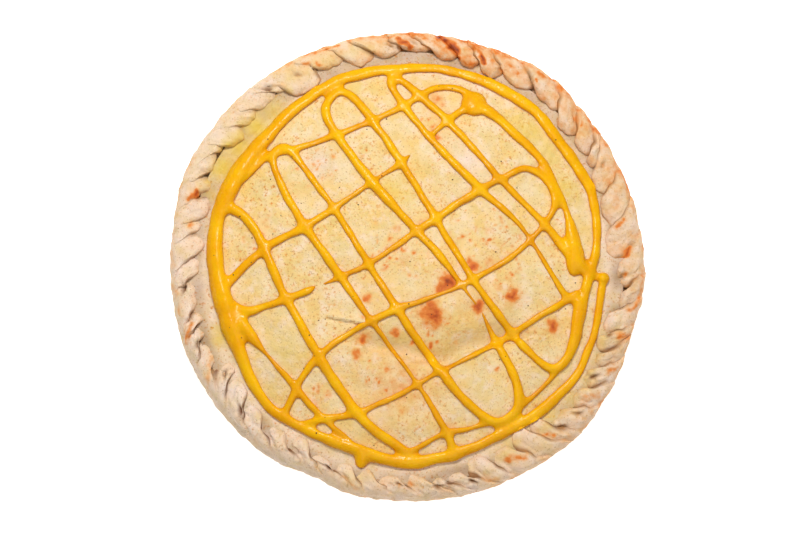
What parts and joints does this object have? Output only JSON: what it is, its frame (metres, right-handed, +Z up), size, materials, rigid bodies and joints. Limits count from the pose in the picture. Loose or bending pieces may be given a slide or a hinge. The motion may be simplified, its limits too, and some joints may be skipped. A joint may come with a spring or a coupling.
{
  "type": "stuffed pizza",
  "caption": "Round stuffed pizza: a domed top sheet of dough held by a slanting pleated rim, with a thick cream sauce piped over it as a ring and a lattice.",
  "frame": {"origin": "middle of the flat underside, where the pizza rests on its board", "axes": "+Z up out of the top sheet; +Y towards the top edge of the picture; +X towards its right edge"},
  "size_m": [0.3196, 0.3159, 0.0371],
  "materials": {
    "dough": "baked dough, pale cream with toasted spots, matte"
  },
  "bodies": {
    "root": {"stuffed_pizza": "dough"}
  },
  "joints": []
}
